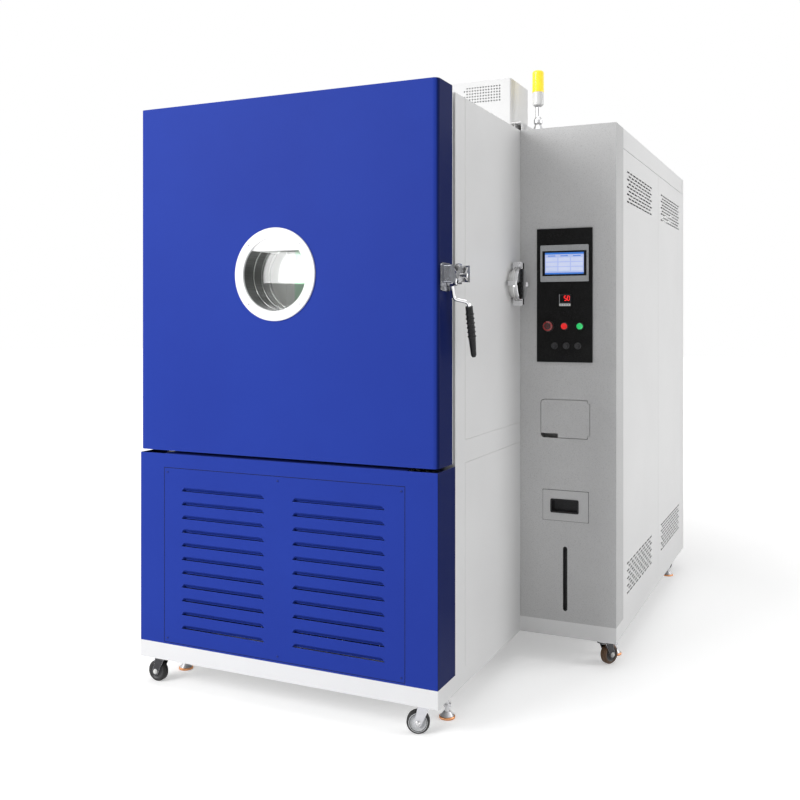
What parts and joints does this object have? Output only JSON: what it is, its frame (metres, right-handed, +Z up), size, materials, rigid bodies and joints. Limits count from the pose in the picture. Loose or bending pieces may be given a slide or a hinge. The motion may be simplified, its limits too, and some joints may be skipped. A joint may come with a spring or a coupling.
{
  "type": "environmental test chamber",
  "caption": "Temperature and humidity test chamber on casters, with a hinged windowed door, latch, control cabinet, access flap, tank drawer, cable port and roof beacon.",
  "frame": {"origin": "middle of the bounding box's bottom face, on the floor", "axes": "+X to the right seen from the front, +Y to the rear, +Z up; the longest side is along Y"},
  "size_m": [1.591, 2.581, 2.34],
  "materials": {
    "white_enamel": "fine textured white powder coat",
    "grey_enamel": "light grey powder coat",
    "blue_enamel": "semi-gloss blue powder coat",
    "stainless": "brushed stainless sheet",
    "polished_steel": "polished plated steel",
    "zinc": "bright zinc plate",
    "black_plastic": "moulded black plastic",
    "grey_plastic": "moulded grey plastic",
    "seal_rubber": "soft black silicone profile",
    "clear_glass": "clear heated glass",
    "foam": "rigid foam slab",
    "aluminium": "bare finned aluminium",
    "red_plastic": "glossy red plastic",
    "green_plastic": "glossy green plastic",
    "lens_plastic": "translucent yellow lens",
    "screen": "dark screen in a grey bezel",
    "wheel_rubber": "black tread on a plastic hub",
    "white_plastic": "glossy white plastic"
  },
  "bodies": {
    "cabinet": {"base_frame": "white_enamel", "front_frame": "white_enamel", "cabinet_posts": "white_enamel", "port_tube": "stainless", "port_cover": "polished_steel", "insulation": "foam", "chamber_liner": "stainless", "air_baffle": "stainless", "conditioning_coils": "aluminium", "fan_motor": "zinc", "side_panels": "white_enamel", "roof_panels": "white_enamel", "motor_hood": "white_enamel", "cable_duct": "white_enamel", "lower_housing": "blue_enamel", "louvre_panel": "blue_enamel", "refrigeration_unit": "zinc", "control_front": "grey_enamel", "control_recesses": "grey_enamel", "level_gauge": "grey_plastic", "operator_panel": "stainless", "touchscreen": "screen", "limit_controller": "black_plastic", "control_side_panels": "white_enamel", "rear_panels": "white_enamel", "supply_gland": "black_plastic", "electrical_gear": "grey_plastic", "beacon_stem": "white_plastic", "beacon_lens": "lens_plastic", "hinge_frame_leaves": "zinc", "latch_keeper": "polished_steel"},
    "door": {"door_shell": "blue_enamel", "door_liner": "stainless", "door_seal": "seal_rubber", "window_bezel": "polished_steel", "window_panes": "clear_glass", "hinge_door_leaves": "zinc", "latch_base": "polished_steel"},
    "latch": {"latch_lever": "polished_steel", "latch_grip": "black_plastic"},
    "flap": {"access_flap": "grey_enamel"},
    "drawer": {"tank_drawer": "grey_enamel", "drawer_pull": "black_plastic"},
    "shelf": {"wire_shelf": "stainless"},
    "estop": {"estop_button": "red_plastic"},
    "power": {"power_button": "red_plastic"},
    "start": {"start_button": "green_plastic"},
    "circulation_fan": {"fan_impeller": "aluminium"},
    "condenser_fan": {"condenser_fan": "black_plastic"},
    "feet": {"levelling_feet": "zinc"},
    "swivel_front_left": {"caster_fork_front_left": "zinc"},
    "wheel_front_left": {"caster_wheel_front_left": "wheel_rubber"},
    "swivel_front_right": {"caster_fork_front_right": "zinc"},
    "wheel_front_right": {"caster_wheel_front_right": "wheel_rubber"},
    "swivel_control_front": {"caster_fork_control_front": "zinc"},
    "wheel_control_front": {"caster_wheel_control_front": "wheel_rubber"},
    "swivel_rear_left": {"caster_fork_rear_left": "zinc"},
    "wheel_rear_left": {"caster_wheel_rear_left": "wheel_rubber"},
    "swivel_rear_right": {"caster_fork_rear_right": "zinc"},
    "wheel_rear_right": {"caster_wheel_rear_right": "wheel_rubber"}
  },
  "joints": [
    {"name": "door_hinge", "type": "hinge", "parent": "cabinet", "child": "door", "pos_m": [-0.7845, -1.1545, 1.5], "axis": [0, 0, -1], "range_deg": [0, 120]},
    {"name": "latch_lever", "type": "hinge", "parent": "door", "child": "latch", "pos_m": [0.4325, -1.2105, 1.462], "axis": [-1, 0, 0], "range_deg": [0, 90]},
    {"name": "flap_hinge", "type": "hinge", "parent": "cabinet", "child": "flap", "pos_m": [0.6905, -0.4307, 0.9535], "axis": [0, 0, 1], "range_deg": [0, 95]},
    {"name": "drawer_slide", "type": "slide", "parent": "cabinet", "child": "drawer", "axis": [0, -1, 0], "range_m": [0, 0.25]},
    {"name": "shelf_slide", "type": "slide", "parent": "cabinet", "child": "shelf", "axis": [0, -1, 0], "range_m": [0, 0.28]},
    {"name": "estop_press", "type": "slide", "parent": "cabinet", "child": "estop", "axis": [0, 1, 0], "range_m": [0, 0.005], "stiffness_N_per_m": 800},
    {"name": "power_press", "type": "slide", "parent": "cabinet", "child": "power", "axis": [0, 1, 0], "range_m": [0, 0.004], "stiffness_N_per_m": 800},
    {"name": "start_press", "type": "slide", "parent": "cabinet", "child": "start", "axis": [0, 1, 0], "range_m": [0, 0.004], "stiffness_N_per_m": 800},
    {"name": "circulation_fan_spin", "type": "hinge", "parent": "cabinet", "child": "circulation_fan", "pos_m": [-0.1745, -0.2985, 1.9], "axis": [0, 0, 1], "continuous": true},
    {"name": "condenser_fan_spin", "type": "hinge", "parent": "cabinet", "child": "condenser_fan", "pos_m": [-0.1745, -0.9045, 0.427], "axis": [0, 1, 0], "continuous": true},
    {"name": "swivel_front_left", "type": "hinge", "parent": "cabinet", "child": "swivel_front_left", "pos_m": [-0.7025, -1.2225, 0.09], "axis": [0, 0, 1], "continuous": true},
    {"name": "wheel_front_left", "type": "hinge", "parent": "swivel_front_left", "child": "wheel_front_left", "pos_m": [-0.7325, -1.2225, 0.038], "axis": [0, -1, 0], "continuous": true},
    {"name": "swivel_front_right", "type": "hinge", "parent": "cabinet", "child": "swivel_front_right", "pos_m": [0.3535, -1.2225, 0.09], "axis": [0, 0, 1], "continuous": true},
    {"name": "wheel_front_right", "type": "hinge", "parent": "swivel_front_right", "child": "wheel_front_right", "pos_m": [0.32531, -1.23276, 0.038], "axis": [0.342, -0.9397, 0], "continuous": true},
    {"name": "swivel_control_front", "type": "hinge", "parent": "cabinet", "child": "swivel_control_front", "pos_m": [0.7335, -0.3725, 0.09], "axis": [0, 0, 1], "continuous": true},
    {"name": "wheel_control_front", "type": "hinge", "parent": "swivel_control_front", "child": "wheel_control_front", "pos_m": [0.7485, -0.34652, 0.038], "axis": [-0.866, 0.5, 0], "continuous": true},
    {"name": "swivel_rear_left", "type": "hinge", "parent": "cabinet", "child": "swivel_rear_left", "pos_m": [-0.7025, 1.1985, 0.09], "axis": [0, 0, 1], "continuous": true},
    {"name": "wheel_rear_left", "type": "hinge", "parent": "swivel_rear_left", "child": "wheel_rear_left", "pos_m": [-0.7175, 1.22448, 0.038], "axis": [-0.866, -0.5, 0], "continuous": true},
    {"name": "swivel_rear_right", "type": "hinge", "parent": "cabinet", "child": "swivel_rear_right", "pos_m": [0.7335, 1.1985, 0.09], "axis": [0, 0, 1], "continuous": true},
    {"name": "wheel_rear_right", "type": "hinge", "parent": "swivel_rear_right", "child": "wheel_rear_right", "pos_m": [0.72324, 1.17031, 0.038], "axis": [0.9397, -0.342, 0], "continuous": true},
    {"name": "feet_lower", "type": "slide", "parent": "cabinet", "child": "feet", "axis": [0, 0, -1], "range_m": [0, 0.02]}
  ],
  "couplings": [
    {"joint": "shelf_slide", "follows": "door_hinge", "m_per_rad": 0.13369}
  ]
}
